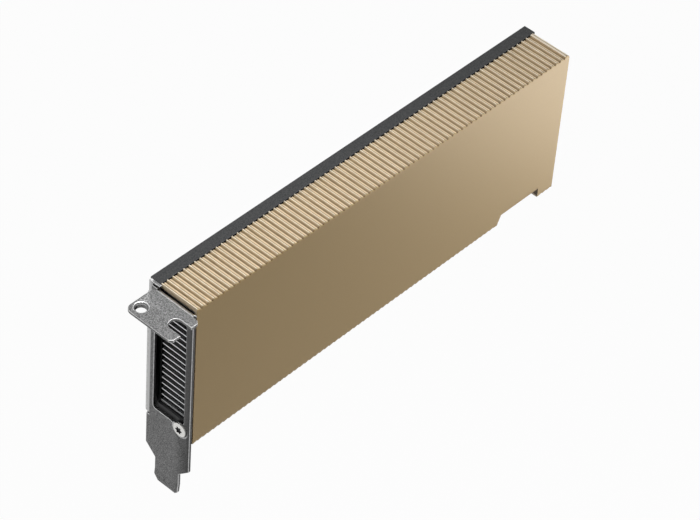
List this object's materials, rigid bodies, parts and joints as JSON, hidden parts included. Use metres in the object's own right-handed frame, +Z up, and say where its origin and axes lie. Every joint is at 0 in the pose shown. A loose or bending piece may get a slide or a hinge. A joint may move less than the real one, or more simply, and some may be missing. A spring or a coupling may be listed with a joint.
{
  "type": "passive accelerator card",
  "caption": "Low-profile, single-slot accelerator card with a ridged cover, a dark rail along the top, a vented mounting bracket and a slot edge connector.",
  "frame": {"origin": "on the underside of the bracket's tab, on the centre line of its screw slot, 5.45 mm inboard of the centre of the slot's round end", "axes": "+X along the card from the bracket to the tail, +Y from the component side to the solder side, +Z up, away from the edge connector"},
  "size_m": [0.1795, 0.0234, 0.0817],
  "materials": {
    "bracket_steel": "fine-textured nickel plating",
    "cover_gold": "satin champagne-gold finish",
    "dark_aluminium": "satin dark grey anodised finish",
    "film": "black insulating film",
    "board": "black solder mask over glass-fibre laminate",
    "contact_gold": "hard gold plating",
    "substrate": "green package laminate",
    "silicon": "polished silicon",
    "nickel": "nickel plating",
    "paste": "thermal compound",
    "pad": "soft gap pad",
    "fin_aluminium": "bare rolled sheet",
    "package": "moulded package",
    "ceramic": "fired ceramic with tinned ends",
    "screw_steel": "nickel-plated steel"
  },
  "bodies": {
    "root": {"mounting_bracket": "bracket_steel", "bracket_block": "fin_aluminium", "ridged_cover": "cover_gold", "back_plate": "dark_aluminium", "insulating_film": "film", "circuit_board": "board", "edge_contacts": "contact_gold", "gpu_substrate": "substrate", "gpu_stiffener": "nickel", "gpu_die": "silicon", "thermal_paste": "paste", "heat_sink_base": "nickel", "fin_stack": "fin_aluminium", "memory_chips_front": "package", "memory_chips_back": "package", "memory_pads_front": "pad", "memory_pads_back": "pad", "power_inductors": "package", "inductor_pads": "pad", "power_stages": "package", "power_stage_pads": "pad", "bulk_capacitors": "package", "controller_chips": "package", "ceramic_capacitors": "ceramic", "back_capacitors": "ceramic", "retention_spring": "screw_steel", "cover_screws": "screw_steel", "spring_screws": "screw_steel", "flap_screw": "screw_steel", "block_screw": "screw_steel", "bracket_screw": "screw_steel"}
  },
  "joints": []
}
